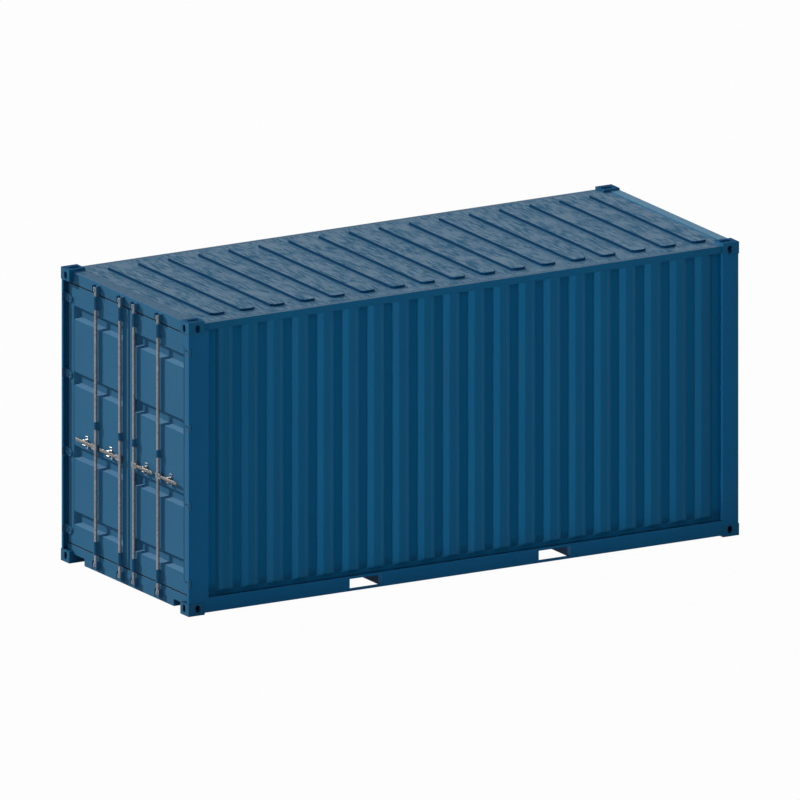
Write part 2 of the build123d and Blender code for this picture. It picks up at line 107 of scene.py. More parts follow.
def sprayedEnamel(name, look):
    material, tree, shader = startMaterial(name, Specular_IOR_Level=look["gloss"])
    coordinates = addNode(tree, "ShaderNodeTexCoord").outputs
    place = coordinates["Object"]
    blotches = addNode(tree, "ShaderNodeTexNoise", {
        "Vector": place, "Scale": perMetre(look["blotchMm"]), "Detail": look["blotchDetail"]})
    paint = addNode(tree, "ShaderNodeMix", {
        0: blotches, 6: linear(look["colour"]), 7: linear(look["faded"])}, data_type="RGBA").outputs[2]
    drawn = addNode(tree, "ShaderNodeMapping", {
        "Vector": place, "Scale": [perMetre(size) for size in look["grimeMm"]]})
    grime = addNode(tree, "ShaderNodeTexNoise", {
        "Vector": drawn, "Scale": 1.0, "Detail": look["grimeDetail"], "Roughness": look["grimeGrain"]})
    grimeAmount = addNode(tree, "ShaderNodeMapRange", {
        "Value": grime, "From Min": look["grimeFrom"], "From Max": look["grimeTo"],
        "To Max": look["grimeMost"]})
    patches = addNode(tree, "ShaderNodeTexNoise", {
        "Vector": place, "Scale": perMetre(look["patchMm"]), "Detail": look["patchDetail"]})
    patchAmount = addNode(tree, "ShaderNodeMapRange", {
        "Value": patches, "From Min": look["patchFrom"], "From Max": look["patchTo"]})
    cover = addNode(tree, "ShaderNodeMath", [grimeAmount, patchAmount], operation="MULTIPLY")
    finish = addNode(tree, "ShaderNodeMix", {
        0: cover, 6: paint, 7: linear(look["grime"])}, data_type="RGBA").outputs[2]
    if "hollow" in look:  # painted light: the sheet's hollows take a lighter, bluer enamel that lifts the shade in them, and below the foot height a darker colour
        depth = addNode(tree, "ShaderNodeAttribute", attribute_name="hollow").outputs["Fac"]
        troughLiftMask = addNode(tree, "ShaderNodeMapRange", {"Value": depth, "From Min": look["hollowFrom"]})
        height = addNode(tree, "ShaderNodeSeparateXYZ", [place]).outputs["Z"]
        aboveFoot = addNode(tree, "ShaderNodeMapRange", {
            "Value": height, "From Min": look["footHollowMm"][0] * mm, "From Max": look["footHollowMm"][1] * mm})
        troughLift = addNode(tree, "ShaderNodeMix", {
            0: aboveFoot, 6: linear(look["footHollow"]), 7: linear(look["hollow"])}, data_type="RGBA").outputs[2]
        finish = addNode(tree, "ShaderNodeMix", {
            0: troughLiftMask, 6: finish, 7: troughLift}, data_type="RGBA").outputs[2]
    satin = addNode(tree, "ShaderNodeMapRange", {
        "Value": cover, "To Min": look["roughness"], "To Max": look["grimeRoughness"]})
    facing = addNode(tree, "ShaderNodeSeparateXYZ", [coordinates["Normal"]])
    level = addNode(tree, "ShaderNodeMapRange", {
        "Value": facing.outputs["Z"], "From Min": look["levelFrom"], "From Max": look["levelTo"]})
    if "steepShade" in look:  # painted shade: the steep sides of the roof's ribs take a dark navy that stands for the shade on them, and are made fully rough; the flats keep the weathered paint
        finish = addNode(tree, "ShaderNodeMix", {
            0: level, 6: linear(look["steepShade"]), 7: finish}, data_type="RGBA").outputs[2]
        satin = addNode(tree, "ShaderNodeMapRange", {
            "Value": level, "To Min": look["steepRoughness"], "To Max": satin})
    if "levelTone" in look:  # the faces that look up take an uneven colour of their own: dust on the top rails and headers, a darker tone on the bottom rails and castings
        uneven = addNode(tree, "ShaderNodeMapRange", {
            "Value": grime, "From Min": look["levelToneFrom"], "From Max": look["levelToneTo"]})
        levelTone = addNode(tree, "ShaderNodeMix", {
            0: uneven, 6: linear(look["levelTone"]), 7: linear(look["thinLevelTone"])}, data_type="RGBA").outputs[2]
        finish = addNode(tree, "ShaderNodeMix", {0: level, 6: finish, 7: levelTone}, data_type="RGBA").outputs[2]
        satin = addNode(tree, "ShaderNodeMapRange", {
            "Value": level, "To Min": satin, "To Max": look["levelRoughness"]})
    pebbles = addNode(tree, "ShaderNodeTexNoise", {
        "Vector": place, "Scale": perMetre(look["pebbleMm"]), "Detail": look["pebbleDetail"]})
    bump = addNode(tree, "ShaderNodeBump", {
        "Height": pebbles, "Strength": look["pebble"],
        "Distance": look["pebbleMm"] * mm * look["pebbleDepth"]})
    tree.links.new(finish, shader.inputs["Base Color"])
    tree.links.new(satin.outputs[0], shader.inputs["Roughness"])
    tree.links.new(bump.outputs[0], shader.inputs["Normal"])
    return material


# the walls: painted light in the hollows, which take a lighter enamel against their shade, and a darker
# colour below the foot height
wallPaint = sprayedEnamel("wallEnamel", dict(
    enamel, hollow="#0C6DA2", footHollow="#0B5580", footHollowMm=(215, 300)))
# painted light: the frame takes a slightly lighter, bluer copy of the walls' enamel, which lifts the shade on
# the posts and the other frame pieces
frameLook = dict(enamel, colour="#146296", faded="#18689A")
framePaint = sprayedEnamel("frameEnamel", frameLook)
# dust lies on the top rails and headers, and the ledges of the bottom rails take a darker colour
railPaint = sprayedEnamel("dustyRailEnamel", dict(enamel, levelTone="#2F5370", thinLevelTone="#1F4560"))
frontPaint = sprayedEnamel("dustyFrontEnamel", dict(
    enamel, roughness=0.8, levelTone="#436D8B", thinLevelTone="#38627F", levelRoughness=0.45))
footPaint = sprayedEnamel("darkLedgeRailEnamel", dict(
    frameLook, levelTone="#0A3A5A", thinLevelTone="#08304B", levelRoughness=0.95))
# painted light: the doors' end, its header and fittings take a paler, greyer copy of the enamel, which stands
# for the sheen the light lays on them
sheenedEnamel = dict(enamel, colour="#2C6794", faded="#326D97", gloss=0.065, roughness=0.6, levelRoughness=0.5)
headerPaint = sprayedEnamel("dustyHeaderEnamel", dict(sheenedEnamel, levelTone="#2F5370", thinLevelTone="#1F4560"))
doorPaint = sprayedEnamel("sheenPaintedDoorEnamel", sheenedEnamel)
castingPaint = sprayedEnamel("castSteelEnamel", dict(
    enamel, gloss=0.07, pebbleMm=9, pebble=0.3, grimeMm=(30, 30, 60), grimeMost=0.3, levelTone="#0A4068",
    thinLevelTone="#053052", levelRoughness=0.95))
# the roof: weathered paint with long streaks, and painted shade on the steep sides of its ribs
roofPaint = sprayedEnamel("weatheredRoofEnamel", dict(
    enamel, colour="#2C506C", faded="#45647F", blotchMm=140, roughness=0.36, grime="#28506D",
    grimeMm=(20, 170, 60), grimeDetail=3, grimeFrom=0.46, grimeTo=0.56, grimeMost=1.0, grimeRoughness=1.0,
    patchMm=260, patchFrom=0.35, patchTo=0.55, steepShade="#053A61"))


# Hot-dip galvanised steel: a dull pale metal whose zinc crystals show as soft angular patches,
# drawn a little coarser than life.
zinc = {
    "dark": "#7E8084", "light": "#93959A", "spangleMm": 22, "metallic": 0.85,
    "roughLow": 0.4, "roughHigh": 0.55}


def galvanisedSteel(name, look):
    material, tree, shader = startMaterial(name, Metallic=look["metallic"])
    place = addNode(tree, "ShaderNodeTexCoord").outputs["Object"]
    spangle = addNode(tree, "ShaderNodeTexVoronoi", {"Vector": place, "Scale": perMetre(look["spangleMm"])})
    flake = addNode(tree, "ShaderNodeSeparateColor", {"Color": spangle.outputs["Color"]})
    tone = addNode(tree, "ShaderNodeMix", {
        0: flake.outputs["Red"], 6: linear(look["dark"]), 7: linear(look["light"])}, data_type="RGBA")
    rough = addNode(tree, "ShaderNodeMapRange", {
        "Value": flake.outputs["Green"], "To Min": look["roughLow"], "To Max": look["roughHigh"]})
    tree.links.new(tone.outputs[2], shader.inputs["Base Color"])
    tree.links.new(rough.outputs[0], shader.inputs["Roughness"])
    return material


barZinc = galvanisedSteel("galvanisedSteel", zinc)
brightZinc = galvanisedSteel("brightZincSteel", dict(
    zinc, dark="#C9C7C2", light="#EDEBE6", spangleMm=9, roughLow=0.25, roughHigh=0.4))
dullZinc = galvanisedSteel("dullZincSteel", dict(
    zinc, dark="#838280", light="#A09F9D", spangleMm=9, roughLow=0.35, roughHigh=0.55))
# the handles take a darker zinc than the bars
handleZinc = galvanisedSteel("darkHandleZincSteel", dict(zinc, dark="#666668", light="#7A7A7C", spangleMm=14))


# EPDM rubber: matt black with a dusty bloom.
rubber = {
    "dark": "#08090A", "bloom": "#151719", "bloomMm": 60, "bloomDetail": 4, "roughness": 0.8, "gloss": 0.1}


def epdmRubber(name, look):
    material, tree, shader = startMaterial(
        name, Roughness=look["roughness"], Specular_IOR_Level=look["gloss"])
    place = addNode(tree, "ShaderNodeTexCoord").outputs["Object"]
    bloom = addNode(tree, "ShaderNodeTexNoise", {
        "Vector": place, "Scale": perMetre(look["bloomMm"]), "Detail": look["bloomDetail"]})
    tone = addNode(tree, "ShaderNodeMix", {
        0: bloom, 6: linear(look["dark"]), 7: linear(look["bloom"])}, data_type="RGBA")
    tree.links.new(tone.outputs[2], shader.inputs["Base Color"])
    return material


sealRubber = epdmRubber("epdmRubber", rubber)


# Varnished marine plywood: reddish brown face veneer with scuffed varnish and long grain, which is drawn
# coarser than life so that it shows.
plywood = {
    "dark": "#5A3320", "light": "#8A5735", "gloss": 0.35,
    "grainMm": (900, 14, 14), "grainDetail": 6, "grainRoughness": 0.6, "grainWaver": 0.4,
    "scuffMm": 220, "scuffDetail": 5, "scuffFrom": 0.3, "scuffTo": 0.7, "roughLow": 0.35, "roughHigh": 0.65}


def marinePlywood(name, look):
    material, tree, shader = startMaterial(name, Specular_IOR_Level=look["gloss"])
    place = addNode(tree, "ShaderNodeTexCoord").outputs["Object"]
    along = addNode(tree, "ShaderNodeMapping", {
        "Vector": place, "Scale": [perMetre(size) for size in look["grainMm"]]})
    grain = addNode(tree, "ShaderNodeTexNoise", {
        "Vector": along, "Scale": 1.0, "Detail": look["grainDetail"], "Roughness": look["grainRoughness"],
        "Distortion": look["grainWaver"]})
    tone = addNode(tree, "ShaderNodeMix", {
        0: grain, 6: linear(look["dark"]), 7: linear(look["light"])}, data_type="RGBA")
    scuffs = addNode(tree, "ShaderNodeTexNoise", {
        "Vector": place, "Scale": perMetre(look["scuffMm"]), "Detail": look["scuffDetail"]})
    rough = addNode(tree, "ShaderNodeMapRange", {
        "Value": scuffs, "From Min": look["scuffFrom"], "From Max": look["scuffTo"],
        "To Min": look["roughLow"], "To Max": look["roughHigh"]})
    tree.links.new(tone.outputs[2], shader.inputs["Base Color"])
    tree.links.new(rough.outputs[0], shader.inputs["Roughness"])
    return material


floorPlywood = marinePlywood("marinePlywood", plywood)

finishes = {
    "top_corner_castings": castingPaint, "bottom_corner_castings": castingPaint, "roof_panel": roofPaint,
    "floor": floorPlywood, "door_header": headerPaint, "door_sill": doorPaint, "front_header": frontPaint,
    "top_keepers": doorPaint, "bottom_keepers": doorPaint}
for side in sides:
    finishes[side + "_top_rail"] = railPaint
    finishes[side + "_bottom_rail"] = footPaint
    finishes[side + "_door_frame"] = doorPaint
    finishes[side + "_door_panel"] = doorPaint
    finishes[side + "_bar_brackets"] = doorPaint
    finishes[side + "_hinge_blades"] = doorPaint
    finishes[side + "_handle_retainers"] = brightZinc if side == "left" else dullZinc
    for place in ("inner", "outer"):
        finishes[f"{side}_{place}_bar"] = barZinc
        finishes[f"{side}_{place}_handle"] = handleZinc
for name, node in nodes.items():
    for slot in node.material_slots:
        slot.material = finishes.get(name, framePaint)
print("finishes on", len(nodes), "nodes")


def addPiece(name, mesh, body, replaced=()):
    piece = bpy.data.objects.new(name, mesh)
    bpy.context.scene.collection.objects.link(piece)
    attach(piece, body)
    if replaced:
        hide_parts(*replaced)


# Starts a Geometry Nodes tree with its named inputs.
def startTree(name, inputs):
    tree = bpy.data.node_groups.new(name, "GeometryNodeTree")
    tree.interface.new_socket("Geometry", in_out="INPUT", socket_type="NodeSocketGeometry")
    for label, kind in inputs.items():
        tree.interface.new_socket(label, in_out="INPUT", socket_type="NodeSocket" + kind)
    tree.interface.new_socket("Geometry", in_out="OUTPUT", socket_type="NodeSocketGeometry")
    return tree, addNode(tree, "NodeGroupInput").outputs


def endTree(tree, shape, finish):
    realized = addNode(tree, "GeometryNodeRealizeInstances", [shape])
    finished = addNode(tree, "GeometryNodeSetMaterial", {"Geometry": realized, "Material": finish})
    addNode(tree, "NodeGroupOutput", [finished])


# Runs a tree once on a start mesh and gives back the plain mesh that it makes.
def grow(tree, name, values, start=None, wallMm=0):
    worker = bpy.data.objects.new(name + ".worker", start or bpy.data.meshes.new(name + ".start"))
    modifier = worker.modifiers.new("grow", "NODES")
    modifier.node_group = tree
    for item in tree.interface.items_tree:
        if item.in_out == "INPUT" and item.name in values:
            modifier[item.identifier] = values[item.name]
    if wallMm:
        wall = worker.modifiers.new("wall", "SOLIDIFY")
        wall.thickness = wallMm * mm
        wall.offset = -1
    bpy.context.scene.collection.objects.link(worker)
    graph = bpy.context.evaluated_depsgraph_get()
    mesh = bpy.data.meshes.new_from_object(worker.evaluated_get(graph))
    mesh.name = name
    bpy.data.objects.remove(worker)
    return mesh


# Corrugated sheet: a grid pressed into ridges with crisp bends and round-cornered feet.
def corrugatedTree():
    tree, given = startTree("corrugatedSheet", {
        "Span": "Float", "Height": "Float", "Columns": "Int", "Rows": "Int", "Pitch": "Float",
        "First Ridge": "Float", "Flat": "Float", "Slope": "Float", "Depth": "Float", "Bend": "Float",
        "Crowding": "Float", "Foot Gap": "Float", "Foot Run": "Float", "Turn": "Rotation", "Place": "Vector",
        "Finish": "Material"})
    grid = addNode(tree, "GeometryNodeMeshGrid", [
        given["Span"], given["Height"], given["Columns"], given["Rows"]])
    where = addNode(tree, "ShaderNodeSeparateXYZ", [addNode(tree, "GeometryNodeInputPosition")])
    # rows crowd towards the foot, where the ridges slope away
    share = addNode(tree, "ShaderNodeMath", [where.outputs["Y"], given["Height"]], operation="DIVIDE")
    share = addNode(tree, "ShaderNodeMath", [share, 0.5], operation="ADD")
    share = addNode(tree, "ShaderNodeMath", [share, given["Crowding"]], operation="POWER")
    level = addNode(tree, "ShaderNodeMath", [share, given["Height"]], operation="MULTIPLY")
    # distance from the nearest ridge, which grows without end past the outer ridges
    shifted = addNode(tree, "ShaderNodeMath", [where.outputs["X"], given["First Ridge"]], operation="ADD")
    halfPitch = addNode(tree, "ShaderNodeMath", [given["Pitch"], 0.5], operation="MULTIPLY")
    near = addNode(tree, "ShaderNodeMath", [shifted, halfPitch], operation="PINGPONG")
    out = addNode(tree, "ShaderNodeMath", [where.outputs["X"]], operation="ABSOLUTE")
    out = addNode(tree, "ShaderNodeMath", [out, given["First Ridge"]], operation="SUBTRACT")
    near = addNode(tree, "ShaderNodeMath", [near, out], operation="MAXIMUM")
    halfFlat = addNode(tree, "ShaderNodeMath", [given["Flat"], 0.5], operation="MULTIPLY")
    fall = addNode(tree, "ShaderNodeMath", [near, halfFlat], operation="SUBTRACT")
    fall = addNode(tree, "ShaderNodeMath", [fall, given["Slope"]], operation="DIVIDE")
    fall = addNode(tree, "ShaderNodeMath", [fall, 1.0, given["Bend"]], operation="SMOOTH_MIN")
    fall = addNode(tree, "ShaderNodeMath", [fall, 0.0, given["Bend"]], operation="SMOOTH_MAX")
    foot = addNode(tree, "ShaderNodeMath", [level, given["Foot Gap"]], operation="SUBTRACT")
    foot = addNode(tree, "ShaderNodeMath", [foot, given["Foot Run"]], operation="DIVIDE")
    foot = addNode(tree, "ShaderNodeMath", [1.0, foot], operation="SUBTRACT", use_clamp=True)
    # side and foot meet in a round corner
    side = addNode(tree, "ShaderNodeMath", [fall, 2.0], operation="POWER")
    foot = addNode(tree, "ShaderNodeMath", [foot, 2.0], operation="POWER")
    fall = addNode(tree, "ShaderNodeMath", [side, foot], operation="ADD")
    fall = addNode(tree, "ShaderNodeMath", [fall], operation="SQRT", use_clamp=True)
    inward = addNode(tree, "ShaderNodeMath", [fall, given["Depth"]], operation="MULTIPLY")
    pressed = addNode(tree, "ShaderNodeCombineXYZ", [where.outputs["X"], inward, level])
    kept = addNode(tree, "GeometryNodeStoreNamedAttribute", {
        "Geometry": grid, "Name": "hollow", "Value": fall}, domain="POINT")
    shaped = addNode(tree, "GeometryNodeSetPosition", {"Geometry": kept, "Position": pressed})
    smooth = addNode(tree, "GeometryNodeSetShadeSmooth", {"Geometry": shaped})
    placed = addNode(tree, "GeometryNodeTransform", {
        "Geometry": smooth, "Translation": given["Place"], "Rotation": given["Turn"]})
    endTree(tree, placed, given["Finish"])
    return tree


sheets = {
    "pitchMm": 277, "flatMm": 72, "slopeMm": 68, "wallMm": 2, "bend": 0.02, "footGapMm": 30, "footRunMm": 30,
    "noFootMm": -1000,  # far below the sheet, for the front wall, whose ridges run down to its edge
    "columnsPerRidge": 36, "rows": 36, "crowding": 2.5, "crispDegrees": 12}
sheetTree = corrugatedTree()
for name, turn in (("right_side_wall", 0), ("front_wall", 90), ("left_side_wall", 180)):
    low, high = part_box(name)
    alongX = turn != 90
    span = high[0] - low[0] if alongX else high[1] - low[1]
    depth = (high[1] - low[1] if alongX else high[0] - low[0]) - sheets["wallMm"] * mm
    middle = [(a + b) / 2 for a, b in zip(low, high)]
    outer = {0: (middle[0], low[1]), 90: (high[0], middle[1]), 180: (middle[0], high[1])}[turn]
    ridges = int(span // (sheets["pitchMm"] * mm))
    values = {
        "Span": span, "Height": high[2] - low[2], "Columns": (ridges + 1) * sheets["columnsPerRidge"],
        "Rows": sheets["rows"], "Pitch": sheets["pitchMm"] * mm,
        "First Ridge": (ridges - 1) / 2 * sheets["pitchMm"] * mm, "Flat": sheets["flatMm"] * mm,
        "Slope": sheets["slopeMm"] * mm, "Depth": depth, "Bend": sheets["bend"],
        "Crowding": sheets["crowding"], "Foot Gap": sheets["footGapMm" if alongX else "noFootMm"] * mm,
        "Foot Run": sheets["footRunMm"] * mm,
        "Turn": (0, 0, math.radians(turn)), "Place": (*outer, low[2]), "Finish": wallPaint}
    mesh = grow(sheetTree, name + "_sheet", values, wallMm=sheets["wallMm"])
    mesh.set_sharp_from_angle(angle=math.radians(sheets["crispDegrees"]))
    addPiece(name + "_sheet", mesh, bodyOf[name], [name])
    print("corrugated sheet", name, len(mesh.polygons), "faces")


# Copies of the steel pieces with rounded edges, as folding, casting and paint leave them.
rounding = {
    "top_corner_castings": 7, "bottom_corner_castings": 7, "roof_panel": 1.5, "door_header": 3,
    "door_sill": 3, "front_header": 1.5, "front_sill": 3, "top_keepers": 2, "bottom_keepers": 2}  # in mm
for side in sides:
    for part, size in (
            ("rear_post", 4), ("front_post", 5), ("top_rail", 4), ("bottom_rail", 5), ("door_frame", 2),
            ("door_panel", 7), ("hinge_lugs", 2), ("hinge_blades", 2), ("bar_brackets", 2),
            ("handle_retainers", 2), ("inner_bar", 1.5), ("outer_bar", 1.5), ("inner_handle", 3),
            ("outer_handle", 3)):
        rounding[f"{side}_{part}"] = size
edges = {
    "weldMm": 0.02, "flatDegrees": 0.5, "sharpDegrees": 20, "roomPerMm": 2.3, "steps": 3, "profile": 0.5}


# An edge is rounded where the faces on both sides of it are wide enough to take the round.
def roundedCopy(name, sizeMm):
    shape = bmesh.new()
    shape.from_mesh(nodes[name].data)
    bmesh.ops.remove_doubles(shape, verts=shape.verts, dist=edges["weldMm"] * mm)
    bmesh.ops.dissolve_limit(
        shape, angle_limit=math.radians(edges["flatDegrees"]), verts=shape.verts, edges=shape.edges)
    room = edges["roomPerMm"] * sizeMm * mm
    chosen = []
    for edge in shape.edges:
        if len(edge.link_faces) != 2 or edge.calc_face_angle() < math.radians(edges["sharpDegrees"]):
            continue
        if min(face.calc_area() / edge.calc_length() for face in edge.link_faces) > room:
            chosen.append(edge)
    bmesh.ops.bevel(
        shape, geom=chosen, offset=sizeMm * mm, offset_type="OFFSET", segments=edges["steps"],
        profile=edges["profile"], affect="EDGES", clamp_overlap=True)
    mesh = bpy.data.meshes.new(name + "_rounded")
    shape.to_mesh(mesh)
    shape.free()
    return mesh


ribs = {"liftMm": 5, "bandMm": 2.5}  # the pressed ribs stand a little prouder than the plain solid's
for name, size in rounding.items():
    material = finishes.get(name, framePaint)
    mesh = roundedCopy(name, size)
    if name == "roof_panel":
        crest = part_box(name)[1][2] - ribs["bandMm"] * mm
        for vert in mesh.vertices:
            if vert.co.z > crest:
                vert.co.z += ribs["liftMm"] * mm
    mesh.materials.append(material)
    addPiece(name + "_rounded", mesh, bodyOf[name], [name])
print("rounded copies of", len(rounding), "nodes")


# Door seals: a body in the gap around each door with two lips that reach the frame.
# Each point is a share of the reach sideways, of the reach up or down, and of the depth inwards.
sealSection = [
    (0, 0, -0.3), (0.9, 1.4, -0.3), (1, 1.5, -0.2), (1, 1.5, 0.12), (0.85, 1, 0.16), (0.5, 0.5, 0.2),
    (0.45, 0.45, 0.48), (0.85, 0.85, 0.52), (1, 1, 0.62), (0.85, 0.85, 0.66), (0.5, 0.5, 0.7), (0.5, 0.5, 1),
    (0, 0, 1)]


def sealMesh(name, leaf):
    low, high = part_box(name)
    innerLow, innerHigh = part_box(leaf)
    shape = bmesh.new()
    rings = []
    for *reach, deep in sealSection:
        x = low[0] + (high[0] - low[0]) * deep
        yLow, zLow = [innerLow[i] + (low[i] - innerLow[i]) * out for i, out in zip((1, 2), reach)]
        yHigh, zHigh = [innerHigh[i] + (high[i] - innerHigh[i]) * out for i, out in zip((1, 2), reach)]
        corners = [(x, yLow, zLow), (x, yHigh, zLow), (x, yHigh, zHigh), (x, yLow, zHigh)]
        rings.append([shape.verts.new(corner) for corner in corners])
    for near, far in zip(rings, rings[1:] + rings[:1]):
        for i in range(4):
            shape.faces.new((near[i], near[(i + 1) % 4], far[(i + 1) % 4], far[i]))
    bmesh.ops.recalc_face_normals(shape, faces=shape.faces)
    mesh = bpy.data.meshes.new(name + "_lips")
    shape.to_mesh(mesh)
    shape.free()
    return mesh


for side in sides:
    name = side + "_door_seal"
    mesh = sealMesh(name, side + "_door_frame")
    mesh.materials.append(sealRubber)
    addPiece(name + "_lips", mesh, bodyOf[name], [name])
print("door seals swept")


# The separate solids of a node, as boxes.
def solidBoxes(name):
    shape = bmesh.new()
    shape.from_mesh(nodes[name].data)
    bmesh.ops.remove_doubles(shape, verts=shape.verts, dist=edges["weldMm"] * mm)
    left = set(shape.verts)
    boxes = []
    while left:
        reached = [left.pop()]
        solid = list(reached)
        while reached:
            for edge in reached.pop().link_edges:
                for vert in edge.verts:
                    if vert in left:
                        left.remove(vert)
                        reached.append(vert)
                        solid.append(vert)
        boxes.append([[pick(vert.co[i] for vert in solid) for i in range(3)] for pick in (min, max)])
    shape.free()
    return sorted(boxes)  # in the same order each run


# Fasteners: a hexagon head or a countersunk disc on a washer, one at each point of the start mesh.
def fastenerTree():
    tree, given = startTree("fasteners", {
        "Head Radius": "Float", "Head Height": "Float", "Head Sides": "Int", "Washer Radius": "Float",
        "Washer Height": "Float", "Washer Sides": "Int", "Turn": "Rotation", "Finish": "Material"})
    washer = addNode(tree, "GeometryNodeMeshCylinder", {
        "Vertices": given["Washer Sides"], "Radius": given["Washer Radius"], "Depth": given["Washer Height"]})
    head = addNode(tree, "GeometryNodeMeshCylinder", {
        "Vertices": given["Head Sides"], "Radius": given["Head Radius"], "Depth": given["Head Height"]})
    lift = addNode(tree, "ShaderNodeMath", [given["Head Height"], 0.5], operation="MULTIPLY")
    lifted = addNode(tree, "GeometryNodeTransform", {
        "Geometry": head, "Translation": addNode(tree, "ShaderNodeCombineXYZ", {"Z": lift})})
    both = addNode(tree, "GeometryNodeJoinGeometry")
    tree.links.new(washer.outputs[0], both.inputs[0])
    tree.links.new(lifted.outputs[0], both.inputs[0])
    placed = addNode(tree, "GeometryNodeInstanceOnPoints", {
        "Points": given["Geometry"], "Instance": both, "Rotation": given["Turn"]})
    endTree(tree, placed, given["Finish"])
    return tree


boltTree = fastenerTree()
facingDoors = (0, math.radians(-90), 0)
facingUp = (0, 0, 0)
bolts = {"headMm": 8, "heightMm": 8, "headSides": 6, "washerMm": 12, "washerHeightMm": 3, "washerSides": 14}


def fastenerPiece(name, points, body, material, turn, look):
    start = bpy.data.meshes.new(name + ".points")
    start.from_pydata(points, [], [])
    values = {
        "Head Radius": look["headMm"] * mm, "Head Height": look["heightMm"] * mm,
        "Head Sides": look["headSides"], "Washer Radius": look["washerMm"] * mm,
        "Washer Height": look["washerHeightMm"] * mm, "Washer Sides": look["washerSides"],
        "Turn": turn, "Finish": material}
    addPiece(name, grow(boltTree, name, values, start), body)


# Bolts through the hinge straps, the feet of the bar brackets and the handle retainers
boltPlaces = {
    "strapMm": 10, "strapTipMm": (24, 62), "plateMm": 6, "footMm": 14, "rowMm": 34, "tallMm": 100,
    "retainerMm": 44}
for side, sign in sides.items():
    points = []
    strapX = doorX - boltPlaces["strapMm"] * mm
    plateX = doorX - boltPlaces["plateMm"] * mm
    for low, high in solidBoxes(side + "_hinge_blades"):
        tipY = low[1] if sign > 0 else high[1]
        for fromTip in boltPlaces["strapTipMm"]:
            points.append((strapX, tipY + sign * fromTip * mm, (low[2] + high[2]) / 2))
    for low, high in solidBoxes(side + "_bar_brackets"):
        rows = (-1, 1) if high[2] - low[2] > boltPlaces["tallMm"] * mm else (0,)
        for y in (low[1] + boltPlaces["footMm"] * mm, high[1] - boltPlaces["footMm"] * mm):
            points += [(plateX, y, (low[2] + high[2]) / 2 + row * boltPlaces["rowMm"] * mm) for row in rows]
    for low, high in solidBoxes(side + "_handle_retainers"):
        for row in (-1, 1):
            z = (low[2] + high[2]) / 2 + row * boltPlaces["retainerMm"] * mm
            points.append((plateX, (low[1] + high[1]) / 2, z))
    fastenerPiece(side + "_door_bolts", points, side + "_door", doorPaint, facingDoors, bolts)
    print(side, "door bolts:", len(points))

# Floor screws in rows over the cross members
screws = {
    "headMm": 6.5, "heightMm": 0.8, "headSides": 14, "washerMm": 9, "washerHeightMm": 0.6, "washerSides": 14,
    "acrossMm": 190, "edgeMm": 45}
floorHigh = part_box("floor")[1]
points = []
reach = floorHigh[1] - screws["edgeMm"] * mm
count = int(2 * reach // (screws["acrossMm"] * mm))
for low, high in solidBoxes("cross_members"):
    x = (low[0] + high[0]) / 2
    points += [(x, reach * (2 * i / count - 1), floorHigh[2]) for i in range(count + 1)]
fastenerPiece("floor_screws", points, "container", barZinc, facingUp, screws)
print("floor screws:", len(points))


# Weld beads: a rippled bead along each line of the start mesh.
beads = {"radiusMm": 3, "sides": 6, "rippleMm": 1.6, "rippleScaleMm": 14, "rippleDetail": 1, "stepMm": 9}


def weldTree():
    tree, given = startTree("weldBeads", {
        "Radius": "Float", "Sides": "Int", "Ripple": "Float", "Ripple Scale": "Float", "Step": "Float",
        "Finish": "Material"})
    path = addNode(tree, "GeometryNodeMeshToCurve", [given["Geometry"]])
    path = addNode(tree, "GeometryNodeResampleCurve", {"Curve": path, "Length": given["Step"]}, mode="LENGTH")
    section = addNode(tree, "GeometryNodeCurvePrimitiveCircle", {
        "Resolution": given["Sides"], "Radius": given["Radius"]})
    bead = addNode(tree, "GeometryNodeCurveToMesh", {
        "Curve": path, "Profile Curve": section, "Fill Caps": True})
    ripple = addNode(tree, "ShaderNodeTexNoise", {
        "Scale": given["Ripple Scale"], "Detail": beads["rippleDetail"]})
    ripple = addNode(tree, "ShaderNodeMath", [ripple, 0.5], operation="SUBTRACT")
    ripple = addNode(tree, "ShaderNodeMath", [ripple, given["Ripple"]], operation="MULTIPLY")
    swell = addNode(tree, "ShaderNodeVectorMath", {
        0: addNode(tree, "GeometryNodeInputNormal"), "Scale": ripple}, operation="SCALE")
    rippled = addNode(tree, "GeometryNodeSetPosition", {"Geometry": bead, "Offset": swell})
    smooth = addNode(tree, "GeometryNodeSetShadeSmooth", {"Geometry": rippled})
    endTree(tree, smooth, given["Finish"])
    return tree


beadTree = weldTree()


def weldPiece(name, lines, body, material):
    start = bpy.data.meshes.new(name + ".lines")
    ends = [point for line in lines for point in line]
    start.from_pydata(ends, [(i, i + 1) for i in range(0, len(ends), 2)], [])
    values = {
        "Radius": beads["radiusMm"] * mm, "Sides": beads["sides"], "Ripple": beads["rippleMm"] * mm,
        "Ripple Scale": perMetre(beads["rippleScaleMm"]), "Step": beads["stepMm"] * mm, "Finish": material}
    addPiece(name, grow(beadTree, name, values, start), body)


# Beads up the edges of the door panels and of the wall sheets
for side, sign in sides.items():
    low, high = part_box(side + "_door_panel")
    uprights = [((doorX, y, low[2]), (doorX, y, high[2])) for y in (low[1], high[1])]
    weldPiece(side + "_door_welds", uprights, side + "_door", doorPaint)
    low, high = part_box(side + "_side_wall")
    y = low[1] if sign > 0 else high[1]
    y += sign * sheets["wallMm"] * mm
    uprights = [((x, y, low[2]), (x, y, high[2])) for x in (low[0], high[0])]
    weldPiece(side + "_wall_welds", uprights, "container", framePaint)
print("weld beads laid")

